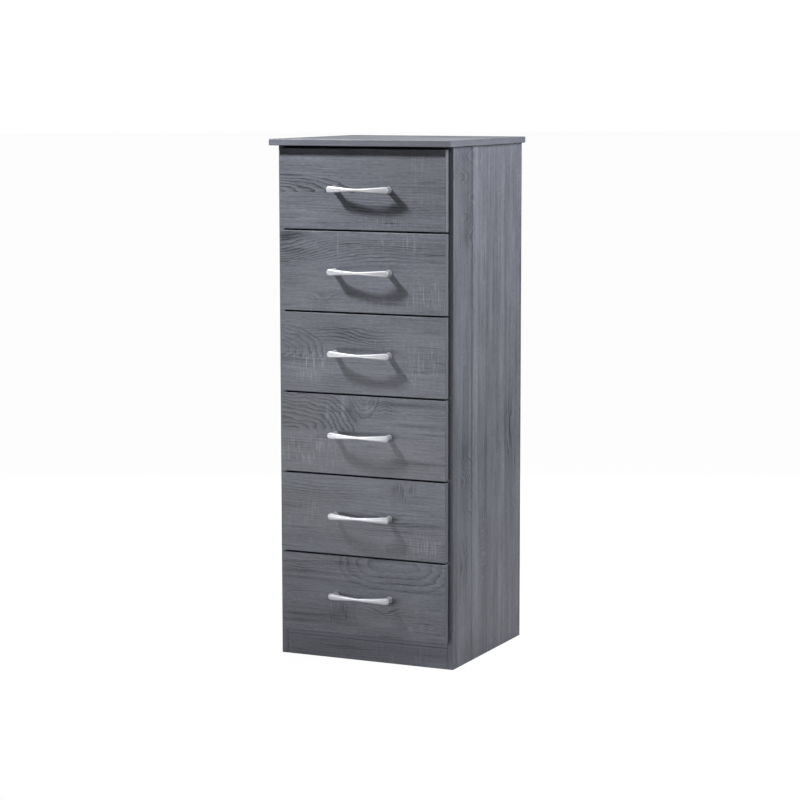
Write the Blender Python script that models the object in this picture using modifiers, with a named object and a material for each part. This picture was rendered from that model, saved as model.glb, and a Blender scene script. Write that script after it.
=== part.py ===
"""Tall chest of six drawers: laminate carcass, drawers on roller runners, waisted bow handles.

Metres, +Z up. The origin is on the floor, under the centre of the overall box.
-Y is the front and +X is the right-hand side as seen from the front.
Drawer 1 is the top one and drawer 6 the lowest.
"""

import math

import bmesh
import bpy

# ---- Driving dimensions ----
HEIGHT = 1.220
CARCASS_WIDTH = 0.445
CARCASS_DEPTH = 0.409            # front edge of the sides to the outer face of the back panel
BOARD = 0.015
CLEARANCE = 0.0003               # between pieces that touch
EDGE_SOFTENING = 0.0006
TOP_OVERHANG_SIDE = 0.008
TOP_OVERHANG_FRONT = 0.035
PLINTH_HEIGHT = 0.050
RAIL_DEPTH = 0.070
BACK_THICKNESS = 0.003
BACK_SIDE_INSET = 0.002
BACK_OVERLAP_ON_PLINTH = 0.015

DRAWER_COUNT = 6
FRONT_WIDTH = 0.422
FRONT_HEIGHT = 0.186
FRONT_THICKNESS = 0.016
FRONT_EDGE_ROUND = 0.0012
FRONT_GAP = 0.004
FRONT_STANDOFF = 0.002           # closed drawers stop this far in front of the carcass
TOP_GAP = 0.006

BOX_BOARD = 0.012
BOX_HEIGHT = 0.130
BOX_LENGTH = 0.350
BOX_RISE = 0.015                 # lower edge of the front to lower edge of the drawer box
BOTTOM_THICKNESS = 0.003
GROOVE_RISE = 0.010
GROOVE_DEPTH = 0.005
GROOVE_HEIGHT = BOTTOM_THICKNESS + 2 * CLEARANCE

RUNNER_SPACE = 0.0127            # between a drawer box and a side panel
RUNNER_LENGTH = 0.350
RUNNER_HEIGHT = 0.030
RUNNER_WIDTH = 0.0098
RUNNER_STEEL = 0.0012
RUNNER_LIP = 0.003
RUNNER_DROP = 0.006              # below the lower edge of the drawer box
RUNNER_SETBACK = 0.003           # behind the front edge of the sides

HANDLE_LENGTH = 0.155
HANDLE_POST_SPACING = 0.138
HANDLE_POST_STANDOFF = 0.02275   # front face to the middle of the strap, at the posts
HANDLE_BOW = 0.009               # further out in the middle
HANDLE_STRAP_THICKNESS = 0.0110
HANDLE_END_HALF_HEIGHT = 0.0083
HANDLE_WAIST_HALF_HEIGHT = 0.0031
HANDLE_END_ROUND = 0.0075
HANDLE_POST_BASE_RADIUS = 0.0080
HANDLE_POST_TOP_RADIUS = 0.0072
HANDLE_RIM_ROUND = 0.0022

# ---- Derived places ----
HANDLE_PROJECTION = CLEARANCE + HANDLE_POST_STANDOFF + HANDLE_BOW + HANDLE_STRAP_THICKNESS / 2
OVERALL_DEPTH = CARCASS_DEPTH + FRONT_STANDOFF + FRONT_THICKNESS + HANDLE_PROJECTION
BACK_Y = OVERALL_DEPTH / 2
CARCASS_FRONT_Y = BACK_Y - CARCASS_DEPTH
SIDE_REAR_Y = BACK_Y - BACK_THICKNESS - CLEARANCE
TOP_UNDERSIDE_Z = HEIGHT - BOARD
SIDE_INNER_X = CARCASS_WIDTH / 2 - BOARD
BETWEEN_SIDES_X = SIDE_INNER_X - CLEARANCE
BOTTOM_TOP_Z = PLINTH_HEIGHT + BOARD

FRONT_BACK_Y = CARCASS_FRONT_Y - FRONT_STANDOFF
FRONT_FACE_Y = FRONT_BACK_Y - FRONT_THICKNESS
FRONT_PITCH = FRONT_HEIGHT + FRONT_GAP
FIRST_FRONT_TOP_Z = TOP_UNDERSIDE_Z - TOP_GAP
BOX_HALF_WIDTH = SIDE_INNER_X - RUNNER_SPACE

COLLECTION_NAME = "tall_chest_of_drawers"


# ---- Scene helpers ----

def clear_scene():
    for item in list(bpy.data.objects):
        bpy.data.objects.remove(item, do_unlink=True)


def new_collection(name):
    collection = bpy.data.collections.new(name)
    bpy.context.scene.collection.children.link(collection)
    return collection


def new_material(name, colour, roughness, metallic=0.0):
    material = bpy.data.materials.new(name)
    material.use_nodes = True
    shader = material.node_tree.nodes["Principled BSDF"]
    shader.inputs["Base Color"].default_value = (*colour, 1.0)
    shader.inputs["Roughness"].default_value = roughness
    shader.inputs["Metallic"].default_value = metallic
    return material


def laminate(name):
    return new_material(name, (0.17, 0.18, 0.21), 0.48)


def hardboard(name):
    return new_material(name, (0.30, 0.185, 0.095), 0.75)


def drawer_board(name):
    return new_material(name, (0.47, 0.47, 0.47), 0.55)


def coated_steel(name):
    return new_material(name, (0.72, 0.72, 0.70), 0.40, 0.30)


def satin_metal(name):
    return new_material(name, (0.60, 0.605, 0.645), 0.36, 1.0)


class Workshop:
    """Adds pieces to one collection and cutters to another."""

    def __init__(self):
        self.parts = new_collection(COLLECTION_NAME)
        self.cutters = new_collection("cutters")

    def add(self, name, data, material_maker, parent=None, location=(0, 0, 0)):
        piece = bpy.data.objects.new(name, data)
        piece.location = location
        piece.parent = parent
        piece.data.materials.clear()
        piece.data.materials.append(material_maker(name + "_material"))
        self.parts.objects.link(piece)
        return piece

    def add_cutter(self, name, data, parent=None, location=(0, 0, 0)):
        cutter = bpy.data.objects.new(name, data)
        cutter.location = location
        cutter.parent = parent
        cutter.hide_render = True
        cutter.display_type = 'WIRE'
        self.cutters.objects.link(cutter)
        return cutter

    def board(self, name, low, high, material_maker, parent=None, softening=EDGE_SOFTENING, segments=1):
        """A rectangular board between two corners, given in its parent's frame."""
        middle = [(a + b) / 2 for a, b in zip(low, high)]
        size = [b - a for a, b in zip(low, high)]
        piece = self.add(name, box_mesh(name, size), material_maker, parent, middle)
        soften_edges(piece, softening, segments)
        return piece

    def extrusion(self, name, outline, low_y, high_y, material_maker, parent=None, location=(0, 0, 0)):
        """A flat X-Z outline, extruded along Y."""
        curve = bpy.data.curves.new(name, 'CURVE')
        curve.dimensions = '2D'
        curve.fill_mode = 'BOTH'
        curve.extrude = (high_y - low_y) / 2
        spline = curve.splines.new('POLY')
        spline.points.add(len(outline) - 1)
        for point, (x, z) in zip(spline.points, outline):
            point.co = (x, z, 0, 1)
        spline.use_cyclic_u = True
        place = (location[0], location[1] + (low_y + high_y) / 2, location[2])
        piece = self.add(name, curve, material_maker, parent, place)
        piece.rotation_euler = (math.radians(90), 0, 0)
        return piece


def box_mesh(name, size):
    mesh = bpy.data.meshes.new(name)
    shape = bmesh.new()
    bmesh.ops.create_cube(shape, size=1.0)
    bmesh.ops.scale(shape, vec=size, verts=shape.verts)
    shape.to_mesh(mesh)
    shape.free()
    return mesh


def soften_edges(piece, width, segments):
    bevel = piece.modifiers.new("soft_edges", 'BEVEL')
    bevel.width = width
    bevel.segments = segments
    bevel.limit_method = 'ANGLE'
    bevel.angle_limit = math.radians(40)


def slide_empty(name, location):
    empty = bpy.data.objects.new(name, None)
    empty.location = location
    bpy.context.scene.collection.objects.link(empty)
    return empty


# ---- Carcass ----

def build_carcass(shop):
    half = CARCASS_WIDTH / 2
    top_half = half + TOP_OVERHANG_SIDE
    side_top = TOP_UNDERSIDE_Z - CLEARANCE
    shop.board("top_panel",
               (-top_half, CARCASS_FRONT_Y - TOP_OVERHANG_FRONT, TOP_UNDERSIDE_Z),
               (top_half, BACK_Y, HEIGHT), laminate, softening=FRONT_EDGE_ROUND, segments=2)
    for side, sign in (("left", -1), ("right", 1)):
        low_x, high_x = sorted((sign * SIDE_INNER_X, sign * half))
        shop.board(side + "_side_panel", (low_x, CARCASS_FRONT_Y, 0), (high_x, SIDE_REAR_Y, side_top), laminate)

    def between_sides(name, low_y, high_y, low_z, high_z):
        shop.board(name, (-BETWEEN_SIDES_X, low_y, low_z), (BETWEEN_SIDES_X, high_y, high_z), laminate)

    plinth_top = PLINTH_HEIGHT - CLEARANCE
    between_sides("bottom_panel", CARCASS_FRONT_Y, SIDE_REAR_Y, PLINTH_HEIGHT, BOTTOM_TOP_Z)
    between_sides("plinth_front", CARCASS_FRONT_Y, CARCASS_FRONT_Y + BOARD, 0, plinth_top)
    between_sides("plinth_rear", SIDE_REAR_Y - BOARD, SIDE_REAR_Y, 0, plinth_top)
    between_sides("top_front_rail", CARCASS_FRONT_Y, CARCASS_FRONT_Y + RAIL_DEPTH, side_top - BOARD, side_top)
    between_sides("top_rear_rail", SIDE_REAR_Y - RAIL_DEPTH, SIDE_REAR_Y, side_top - BOARD, side_top)

    # The middle rail sits in the free height between the boxes of the two middle drawers.
    lower_box_top = front_bottom_z(DRAWER_COUNT // 2 + 1) + BOX_RISE + BOX_HEIGHT
    upper_box_bottom = front_bottom_z(DRAWER_COUNT // 2) + BOX_RISE
    rail_z = (lower_box_top + upper_box_bottom - BOARD) / 2
    between_sides("middle_rail", CARCASS_FRONT_Y, CARCASS_FRONT_Y + RAIL_DEPTH, rail_z, rail_z + BOARD)

    back_half = half - BACK_SIDE_INSET
    shop.board("back_panel",
               (-back_half, BACK_Y - BACK_THICKNESS, PLINTH_HEIGHT - BACK_OVERLAP_ON_PLINTH),
               (back_half, BACK_Y, side_top), hardboard, softening=EDGE_SOFTENING / 2)


# ---- Runners ----

def runner_outline(sign):
    """Section of the cabinet member: a channel that opens towards the drawer, with a lip below."""
    steel, width, height = RUNNER_STEEL, RUNNER_WIDTH, RUNNER_HEIGHT
    section = [(0, 0), (width, 0), (width, RUNNER_LIP), (width - steel, RUNNER_LIP), (width - steel, steel),
               (steel, steel), (steel, height - steel), (width, height - steel), (width, height), (0, height)]
    return [(-sign * x, z) for x, z in section]


def build_runners(shop, number):
    channel_z = front_bottom_z(number) + BOX_RISE - RUNNER_DROP
    start_y = CARCASS_FRONT_Y + RUNNER_SETBACK
    for side, sign in (("left", -1), ("right", 1)):
        shop.extrusion(f"drawer_{number}_{side}_runner", runner_outline(sign), start_y, start_y + RUNNER_LENGTH,
                       coated_steel, location=(sign * BETWEEN_SIDES_X, 0, channel_z))


# ---- Drawers ----

def front_bottom_z(number):
    return FIRST_FRONT_TOP_Z - (number - 1) * FRONT_PITCH - FRONT_HEIGHT


def box_side_outline(sign):
    """Section of a drawer side from its outer face at 0, with the groove for the bottom."""
    groove_low, groove_high = GROOVE_RISE, GROOVE_RISE + GROOVE_HEIGHT
    groove_x = BOX_BOARD - GROOVE_DEPTH
    section = [(0, 0), (BOX_BOARD, 0), (BOX_BOARD, groove_low), (groove_x, groove_low), (groove_x, groove_high),
               (BOX_BOARD, groove_high), (BOX_BOARD, BOX_HEIGHT), (0, BOX_HEIGHT)]
    return [(-sign * x, z) for x, z in section]


def build_drawer(shop, number, handle):
    """One drawer. Its frame is at the middle of the front's outer face, and it slides along -Y."""
    name = f"drawer_{number}"
    slide = slide_empty(name + "_slide", (0, FRONT_FACE_Y, front_bottom_z(number) + FRONT_HEIGHT / 2))
    half_width, half_height = FRONT_WIDTH / 2, FRONT_HEIGHT / 2
    box_z = BOX_RISE - half_height
    box_front = FRONT_THICKNESS + CLEARANCE
    box_rear = box_front + BOX_LENGTH
    inner_x = BOX_HALF_WIDTH - BOX_BOARD
    groove_z = box_z + GROOVE_RISE

    front = shop.board(name + "_front", (-half_width, 0, -half_height), (half_width, FRONT_THICKNESS, half_height),
                       laminate, slide, FRONT_EDGE_ROUND, 2)
    groove_size = (2 * (inner_x + GROOVE_DEPTH), 2 * GROOVE_DEPTH, GROOVE_HEIGHT)
    cutter = shop.add_cutter(name + "_groove_cutter", box_mesh(name + "_groove_cutter", groove_size), slide,
                             (0, FRONT_THICKNESS, groove_z + GROOVE_HEIGHT / 2))
    groove = front.modifiers.new("bottom_groove", 'BOOLEAN')
    groove.operation = 'DIFFERENCE'
    groove.solver = 'EXACT'
    groove.object = cutter

    for side, sign in (("left", -1), ("right", 1)):
        shop.extrusion(f"{name}_{side}_side", box_side_outline(sign), box_front, box_rear, drawer_board, slide,
                       (sign * BOX_HALF_WIDTH, 0, box_z))
    back_half = inner_x - CLEARANCE
    shop.board(name + "_back", (-back_half, box_rear - BOX_BOARD, groove_z + GROOVE_HEIGHT),
               (back_half, box_rear, box_z + BOX_HEIGHT), drawer_board, slide)
    bottom_half = inner_x + GROOVE_DEPTH - 2 * CLEARANCE
    bottom_z = groove_z + CLEARANCE
    shop.board(name + "_bottom", (-bottom_half, FRONT_THICKNESS - GROOVE_DEPTH + 2 * CLEARANCE, bottom_z),
               (bottom_half, box_rear, bottom_z + BOTTOM_THICKNESS), hardboard, slide, EDGE_SOFTENING / 2)
    shop.add(name + "_handle", handle.copy(), satin_metal, slide, (0, -CLEARANCE, 0))


# ---- Handle ----

def strap_half_height(x):
    """Half the strap's height at x: narrow in the middle, tall at the posts, rounded at the ends."""
    reach = HANDLE_LENGTH / 2 - HANDLE_END_ROUND
    share = min(abs(x) / reach, 1.0)
    height = HANDLE_WAIST_HALF_HEIGHT + (HANDLE_END_HALF_HEIGHT - HANDLE_WAIST_HALF_HEIGHT) * share ** 1.2
    over = max(abs(x) - reach, 0.0) / HANDLE_END_ROUND
    return height * max(1.0 - over ** 2.4, 0.0) ** (1 / 2.4)


def strap_standoff(x):
    """Distance of the strap's middle from the drawer front at x."""
    share = 2 * x / HANDLE_POST_SPACING
    return HANDLE_POST_STANDOFF + HANDLE_BOW * (1 - share ** 2)


def strap_stations():
    """Places along the strap: even steps between the round ends, closer steps around them."""
    reach = HANDLE_LENGTH / 2 - HANDLE_END_ROUND
    steps, end_steps = 12, 4
    stations = [-reach + 2 * reach * i / steps for i in range(steps + 1)]
    turn = [reach + HANDLE_END_ROUND * math.sin(math.radians(80) * i / end_steps) for i in range(1, end_steps + 1)]
    return [-x for x in reversed(turn)] + stations + turn


def strap_section(x):
    """Ring of points around the strap at x: a flat bar with rounded rims."""
    half, depth = strap_half_height(x), HANDLE_STRAP_THICKNESS / 2
    rim = min(HANDLE_RIM_ROUND, half / 2)
    corner = []
    for step in range(3):
        turn = math.radians(45 * step)
        corner.append((depth - rim + rim * math.sin(turn), half - rim + rim * math.cos(turn)))
    ring = corner + [(out, -up) for out, up in reversed(corner)]
    ring += [(-out, -up) for out, up in corner] + [(-out, up) for out, up in reversed(corner)]
    return [(x, -strap_standoff(x) - out, up) for out, up in ring]


def strap_mesh():
    """The strap lofted through its sections, since its height and its rims change along it."""
    mesh = bpy.data.meshes.new("handle_strap")
    shape = bmesh.new()
    rings = [[shape.verts.new(point) for point in strap_section(x)] for x in strap_stations()]
    for near, far in zip(rings, rings[1:]):
        for i, corner in enumerate(near):
            j = (i + 1) % len(near)
            shape.faces.new((corner, near[j], far[j], far[i]))
    shape.faces.new(list(reversed(rings[0])))
    shape.faces.new(rings[-1])
    bmesh.ops.recalc_face_normals(shape, faces=shape.faces)
    shape.to_mesh(mesh)
    shape.free()
    return mesh


def post_mesh():
    """A round post along Y that starts on the drawer front and ends inside the strap."""
    mesh = bpy.data.meshes.new("handle_post")
    shape = bmesh.new()
    length = strap_standoff(HANDLE_POST_SPACING / 2)
    bmesh.ops.create_cone(shape, cap_ends=True, segments=20, radius1=HANDLE_POST_BASE_RADIUS,
                          radius2=HANDLE_POST_TOP_RADIUS, depth=length)
    bmesh.ops.translate(shape, vec=(0, 0, length / 2), verts=shape.verts)
    for vertex in shape.verts:
        x, y, z = vertex.co
        vertex.co = (x, -z, y)
    shape.to_mesh(mesh)
    shape.free()
    return mesh


def handle_mesh(shop):
    """The strap joined to its two posts, as one closed mesh that the six handles share."""
    strap = shop.add_cutter("handle_strap", strap_mesh())
    post = post_mesh()
    for side, sign in (("left", -1), ("right", 1)):
        foot = shop.add_cutter(f"handle_{side}_post", post, location=(sign * HANDLE_POST_SPACING / 2, 0, 0))
        union = strap.modifiers.new(side + "_post", 'BOOLEAN')
        union.operation = 'UNION'
        union.solver = 'EXACT'
        union.object = foot
    bpy.context.view_layer.update()
    evaluated = strap.evaluated_get(bpy.context.evaluated_depsgraph_get())
    mesh = bpy.data.meshes.new_from_object(evaluated)
    mesh.shade_smooth()
    mesh.set_sharp_from_angle(angle=math.radians(40))
    return mesh


def main():
    clear_scene()
    shop = Workshop()
    build_carcass(shop)
    handle = handle_mesh(shop)
    for number in range(1, DRAWER_COUNT + 1):
        build_runners(shop, number)
        build_drawer(shop, number, handle)


main()
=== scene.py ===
"""Looks of a tall, narrow chest of six drawers in dark grey sawn-oak laminate.

Everything is in metres, in the frame of the CAD model: +Z is up, -Y is the front, and the origin
is on the floor. Drawer 1 is the top one and drawer 6 the lowest.
"""

import math
from typing import NamedTuple

import bmesh
import bpy
from mathutils import Matrix, Vector


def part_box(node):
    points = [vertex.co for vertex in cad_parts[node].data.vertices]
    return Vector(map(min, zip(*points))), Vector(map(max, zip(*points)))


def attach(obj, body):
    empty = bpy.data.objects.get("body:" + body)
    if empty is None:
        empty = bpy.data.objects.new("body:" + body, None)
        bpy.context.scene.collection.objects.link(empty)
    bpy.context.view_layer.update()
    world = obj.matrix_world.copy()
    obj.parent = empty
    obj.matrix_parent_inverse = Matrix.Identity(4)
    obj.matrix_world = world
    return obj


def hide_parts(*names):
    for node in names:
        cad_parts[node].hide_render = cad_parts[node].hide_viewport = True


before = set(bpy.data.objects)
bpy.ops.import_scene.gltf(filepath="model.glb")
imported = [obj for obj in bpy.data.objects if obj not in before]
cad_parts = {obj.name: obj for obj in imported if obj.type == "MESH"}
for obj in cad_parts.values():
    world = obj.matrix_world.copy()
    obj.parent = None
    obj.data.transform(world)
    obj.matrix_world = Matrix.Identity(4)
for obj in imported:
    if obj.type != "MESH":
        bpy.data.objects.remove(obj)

bl_info = {
    "name": "Tall Chest of Drawers",
    "version": (1, 0, 0),
    "blender": (4, 5, 0),
    "location": "3D View > Sidebar > Chest",
    "description": "Finishes, handles and fittings of a tall chest of six drawers",
    "category": "Object",
}

DRAWERS = range(1, 7)
HANDS = (("left", -1), ("right", 1))
X, Y, Z = 0, 1, 2
CLEARANCE = 0.0003               # between pieces that touch
SUNK = 0.00005                   # how far a screw, cam or nail head starts below its place
ROLLER_PLAY = 0.0008             # between a carcass roller and the channel round it
BAND_OFFSET = 0.9                # across the grain, from a board's print to that of its edge bands
HANDLE_LOW, HANDLE_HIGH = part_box("drawer_1_handle")


# ---- Settings ----

def length(name, description, default, **limits):
    """A length in metres for a property group."""
    return bpy.props.FloatProperty(
        name=name, description=description, default=default, subtype="DISTANCE",
        unit="LENGTH", precision=4, **limits,
    )


def colour(name, description, default):
    """A linear colour for a property group."""
    return bpy.props.FloatVectorProperty(
        name=name, description=description, default=default, subtype="COLOR",
        size=3, min=0.0, max=1.0,
    )


def share(name, description, default):
    """A share from 0 to 1 for a property group."""
    return bpy.props.FloatProperty(
        name=name, description=description, default=default, min=0.0, max=1.0,
        subtype="FACTOR",
    )


def angle(name, description, degrees):
    """An angle for a property group."""
    return bpy.props.FloatProperty(
        name=name, description=description, default=math.radians(degrees), subtype="ANGLE",
    )


def power(name, description, default):
    """A light's power in watts for a property group."""
    return bpy.props.FloatProperty(
        name=name, description=description, default=default, min=0.0, unit="POWER",
    )


def brightness(name, description, default):
    """How much light something gives out, for a property group."""
    return bpy.props.FloatProperty(name=name, description=description, default=default, min=0.0)


class LaminateSettings(bpy.types.PropertyGroup):
    """Printed sawn-oak laminate."""

    light: colour("Light wood", "Colour between the growth rings", (0.235, 0.243, 0.285))
    middle: colour("Middle wood", "Colour over most of a board", (0.122, 0.129, 0.155))
    dark: colour("Dark wood", "Colour of the growth rings", (0.034, 0.037, 0.047))
    tint: colour("Tint", "Colour of the faint warm patches", (0.135, 0.132, 0.122))
    ring_width: length("Ring width", "Distance between two growth rings", 0.0064, min=0.001)
    saw_marks: share("Saw marks", "How clear the marks across the grain are", 0.75)
    roughness: share("Roughness", "Roughness of the laminate", 0.48)


class HandleSettings(bpy.types.PropertyGroup):
    """Waisted bow handles."""

    length: length("Length", "End to end", HANDLE_HIGH.x - HANDLE_LOW.x)
    spacing: length("Post spacing", "Between the middles of the two posts", 0.138)
    standoff: length("Standoff", "Front of the drawer to the middle of the strap at a post", 0.02275)
    bow: length("Bow", "How much further out the middle of the strap is", 0.009)
    thickness: length("Strap thickness", "Front to back of the strap", 0.0110)
    waist: length("Waist", "Height of the strap in the middle", 0.0062)
    end_round: length("End round", "Length of the rounded end of the strap", 0.0075)
    foot: length("Foot", "Radius of a post where it meets the front", 0.0080)
    neck: length("Neck", "Radius of a post half way out", 0.0070)
    metal: colour("Metal", "Colour of the satin metal", (0.60, 0.605, 0.645))


class FittingSettings(bpy.types.PropertyGroup):
    """Runners, rollers, screws, cams and nails."""

    steel: length("Steel thickness", "Sheet steel of the runners", 0.0012)
    roller_radius: length("Roller radius", "Radius of the runner rollers", 0.0080)
    roller_width: length("Roller width", "Width of the runner rollers", 0.0048)
    screw_radius: length("Screw head", "Radius of the screw heads", 0.0034)
    cam_radius: length("Cam", "Radius of the cam locks", 0.0075)
    nail_radius: length("Nail head", "Radius of the heads of the back panel's nails", 0.0022)
    nail_pitch: length("Nail pitch", "Distance between two nails", 0.100)
    flange: length("Flange", "How far out the flange under a drawer reaches", 0.0088)
    upright: length("Upright", "Height of a drawer's runner member on the side board", 0.0240)
    enamel: colour("Enamel", "Coating of the runners", (0.70, 0.69, 0.66))
    nylon: colour("Nylon", "Rollers", (0.80, 0.80, 0.77))
    zinc: colour("Zinc", "Plating of the small metal pieces", (0.62, 0.62, 0.60))


class BoardSettings(bpy.types.PropertyGroup):
    """Drawer boxes and hardboard."""

    foil: colour("Foil", "Foil of the drawer boxes", (0.47, 0.47, 0.47))
    paint: colour("Paint", "Painted side of the hardboard", (0.42, 0.42, 0.43))
    fibre: colour("Fibre", "Bare side of the hardboard", (0.30, 0.185, 0.095))


class StageSettings(bpy.types.PropertyGroup):
    """Camera, floor and lights."""

    camera_place: bpy.props.FloatVectorProperty(
        name="Camera", description="Place of the camera", size=3, subtype="TRANSLATION",
        default=(2.4877, -5.3202, 1.3546),
    )
    camera_turn: angle("Turn", "Turn of the camera about the upright axis", 25.011)
    camera_dip: angle("Dip", "How far the camera looks down", 7.342)
    camera_roll: angle("Roll", "Roll of the camera", -0.084)
    lens: bpy.props.FloatProperty(
        name="Lens", description="Focal length", default=111.75, subtype="DISTANCE_CAMERA",
    )
    key_power: power("Key", "Lamp up on the left", 312.0)
    fill_power: power("Fill", "Panel on the right", 44.5)
    low_power: power("Low front", "Wide panel low in front", 3.6)
    overhead_power: power("Overhead", "Round panel over the top", 55.0)
    rear_power: power("Rear", "Panel behind, for views of the back", 55.0)
    ambient: brightness("Ambient", "Light from all around", 0.015)
    white: brightness("White", "The floor and the background, as they are seen", 1.05)


# ---- Shader expressions ----

class Socket:
    """An output of a shader node, to use in Python expressions.

    Values are worked out with Math nodes and vectors with Vector Math nodes.
    """

    def __init__(self, tree, output):
        self.tree = tree
        self.output = output

    def math(self, operation, *terms):
        """Adds the node of one operation on values or vectors."""
        vectors = [term for term in terms if isinstance(term, tuple)]
        sockets = [term for term in terms if isinstance(term, Socket)]
        in_space = vectors or any(socket.output.type == "VECTOR" for socket in sockets)
        kind = "ShaderNodeVectorMath" if in_space else "ShaderNodeMath"
        return self.tree.node(kind, {"operation": operation}, dict(enumerate(terms)))

    def __add__(self, other):
        return self.math("ADD", self, other)

    def __radd__(self, other):
        return self.math("ADD", other, self)

    def __sub__(self, other):
        return self.math("SUBTRACT", self, other)

    def __rsub__(self, other):
        return self.math("SUBTRACT", other, self)

    def __mul__(self, other):
        return self.math("MULTIPLY", self, other)

    def __rmul__(self, other):
        return self.math("MULTIPLY", other, self)

    def __truediv__(self, other):
        return self.math("DIVIDE", self, other)

    def __pow__(self, other):
        return self.math("POWER", self, other)

    def __gt__(self, other):
        return self.math("GREATER_THAN", self, other)

    def __lt__(self, other):
        return self.math("LESS_THAN", self, other)

    def __neg__(self):
        return self * -1.0

    def __abs__(self):
        return self.math("ABSOLUTE", self)

    def exp(self):
        """e to this power."""
        return self.math("EXPONENT", self)

    def sine(self):
        """Sine of this angle."""
        return self.math("SINE", self)

    def fraction(self):
        """What is left over a whole number."""
        return self.math("FRACT", self)

    def dot(self, other):
        """Dot product of two vectors."""
        return self.tree.node(
            "ShaderNodeVectorMath", {"operation": "DOT_PRODUCT"}, {0: self, 1: other}, "Value",
        )

    def parts(self):
        """The three numbers of a vector."""
        separated = self.tree.node("ShaderNodeSeparateXYZ", {}, {0: self})
        outputs = separated.output.node.outputs
        return [Socket(self.tree, outputs[axis]) for axis in (X, Y, Z)]

    def smooth(self, low, high, start=0.0, end=1.0):
        """Goes from start at low to end at high along an S curve."""
        return self.tree.node(
            "ShaderNodeMapRange", {"interpolation_type": "SMOOTHSTEP"},
            {"Value": self, "From Min": low, "From Max": high, "To Min": start, "To Max": end},
        )


def socket_in(sockets, key):
    """A node's socket by number or by name, among those that its settings leave in use."""
    if isinstance(key, int):
        return sockets[key]
    return next(socket for socket in sockets if socket.enabled and socket.name == key)


def dimmed(full, factor):
    """A darker shade of a colour."""
    return tuple(factor * part for part in full)


class Tree:
    """A shader's nodes and the links between them."""

    def __init__(self, owner):
        owner.use_nodes = True
        self.nodes = owner.node_tree.nodes
        self.links = owner.node_tree.links

    def first(self, kind):
        """The node of a type that a new tree starts with."""
        return next(node for node in self.nodes if node.type == kind)

    def node(self, kind, settings, values, output=0):
        """Adds a node: its settings first, then the values or links of its sockets."""
        node = self.nodes.new(kind)
        for label, setting in settings.items():
            if label == "stops":
                self.set_stops(node.color_ramp, setting)
            else:
                setattr(node, label, setting)
        for key, value in values.items():
            self.feed(socket_in(node.inputs, key), value)
        return Socket(self, socket_in(node.outputs, output))

    def feed(self, socket, value):
        """Links a socket, or sets it to a plain number, vector or colour."""
        if isinstance(value, Socket):
            self.links.new(value.output, socket)
        elif socket.type == "VECTOR" and isinstance(value, (int, float)):
            socket.default_value = (value, value, value)
        elif socket.type == "RGBA":
            socket.default_value = (*value, 1.0)
        else:
            socket.default_value = value

    @staticmethod
    def set_stops(ramp, stops):
        """Gives a colour ramp its places and colours."""
        while len(ramp.elements) < len(stops):
            ramp.elements.new(1.0)
        for element, (place, shade) in zip(ramp.elements, stops):
            element.position = place
            element.color = (*shade, 1.0)


class Finish(Tree):
    """A material: its Principled shader and the nodes that feed it."""

    def __init__(self, name, **constants):
        self.material = bpy.data.materials.new(name)
        super().__init__(self.material)
        self.shader = self.first("BSDF_PRINCIPLED")
        for label, value in constants.items():
            socket_in(self.shader.inputs, label.replace("_", " ")).default_value = value

    def place(self):
        """The point on the piece, in the frame of the chest with its drawers shut."""
        return self.node("ShaderNodeTexCoord", {}, {}, "Object")

    def facing(self):
        """The direction that the surface faces."""
        return self.node("ShaderNodeNewGeometry", {}, {}, "Normal")

    def vector(self, *numbers):
        """Three numbers as a vector."""
        return self.node("ShaderNodeCombineXYZ", {}, dict(enumerate(numbers)))

    def noise(self, place, detail=2.0, roughness=0.5, distortion=0.0):
        """Soft noise, mostly between 0.3 and 0.7."""
        return self.node(
            "ShaderNodeTexNoise", {"noise_dimensions": "3D"},
            {"Vector": place, "Scale": 1.0, "Detail": detail, "Roughness": roughness,
             "Distortion": distortion},
        )

    def mix(self, factor, first, second):
        """Mixes two colours."""
        return self.node(
            "ShaderNodeMix", {"data_type": "RGBA"}, {"Factor": factor, "A": first, "B": second},
            "Result",
        )

    def ramp(self, factor, stops):
        """A colour from a ramp."""
        return self.node("ShaderNodeValToRGB", {"stops": stops}, {"Fac": factor}, "Color")

    def bump(self, height, distance, strength=1.0):
        """A normal from a height."""
        return self.node(
            "ShaderNodeBump", {}, {"Height": height, "Distance": distance, "Strength": strength},
        )

    def shade(self, **sockets):
        """Links expressions to the shader and gives the material."""
        for label, socket in sockets.items():
            self.feed(socket_in(self.shader.inputs, label.replace("_", " ")), socket)
        return self.material


# ---- Figures of the laminate ----

# Places are along and across the grain, from the middle of the board, and a spread is the half
# width of a bell, all in metres.

class Arch(NamedTuple):
    """Nested ovals of growth rings."""

    along: float             # their middle
    across: float
    length: float            # half of the outer oval's length
    width: float             # half of its width
    rings: float             # how many there are
    lowest: float = -1.0     # where they are cut off, across the grain
    strength: float = 0.8    # how clear they are
    square: float = 2.0      # 2 for ovals, and more for blunt ends
    wobble: float = 1.0      # how far they wander


class Figure(NamedTuple):
    """Where one board's pattern bends, darkens and shows saw marks."""

    arches: tuple = ()
    swells: tuple = ()       # (along, across, spread along, spread across, rings moved)
    patches: tuple = ()      # (along, across, spread along, spread across, tone added)
    marks: tuple = ()        # (along, across, spread along, spread across, tone of the marks)
    lean: float = 0.0        # rings crossed in each metre along the grain
    drift: float = 2.4       # how many rings the slow waves move
    banding: float = 0.16    # strength of the broad bands along the grain
    coarse: float = 1.0      # how much wider the rings are than usual
    depth: float = 1.0       # contrast of the whole print


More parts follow.
